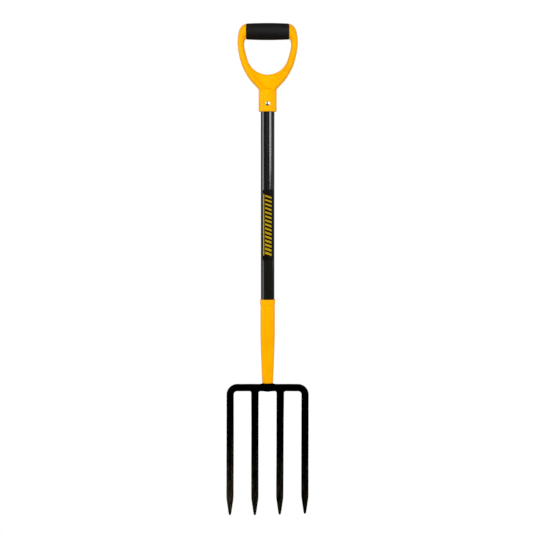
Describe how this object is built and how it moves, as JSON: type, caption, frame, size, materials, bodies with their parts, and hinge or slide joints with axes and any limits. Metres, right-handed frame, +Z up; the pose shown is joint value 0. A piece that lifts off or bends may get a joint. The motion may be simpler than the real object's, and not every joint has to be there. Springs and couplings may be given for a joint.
{
  "type": "digging fork",
  "caption": "Upright digging fork with flat-fronted forged tines under a crossbar, a tapered yellow ferrule, a black tube shaft and a yellow D-grip with a soft black sleeve.",
  "frame": {"origin": "on the shaft's axis, level with the tips of the longest tines", "axes": "+Z up along the shaft from the tines to the grip, +X along the crossbar to the right, -Y to the front, where the flat faces of the tines and the rivet are"},
  "size_m": [0.1776, 0.0411, 1.0483],
  "materials": {
    "black_steel": "black baked paint over a forged surface, satin, worn thin at the tips",
    "weld_steel": "black paint over rippled weld metal",
    "yellow_paint": "golden yellow paint, satin gloss",
    "hardwood": "plain turned ash",
    "fibreglass": "black gloss resin with lengthwise fibre lines",
    "label_film": "matt black film with a plain yellow print",
    "yellow_plastic": "moulded golden yellow polypropylene, satin gloss",
    "soft_black": "soft matt black elastomer",
    "rivet_metal": "bright aluminium",
    "mandrel_steel": "broken steel pin"
  },
  "bodies": {
    "root": {"head_bar": "black_steel", "inner_tine_left": "black_steel", "inner_tine_right": "black_steel", "tine_weld_left": "weld_steel", "tine_weld_right": "weld_steel", "tang_weld": "weld_steel", "tang": "black_steel", "ferrule": "yellow_paint", "tang_core": "hardwood", "shaft": "fibreglass", "shaft_label": "label_film", "grip_frame": "yellow_plastic", "grip_sleeve": "soft_black", "rivet_body": "rivet_metal", "rivet_mandrel": "mandrel_steel"}
  },
  "joints": []
}
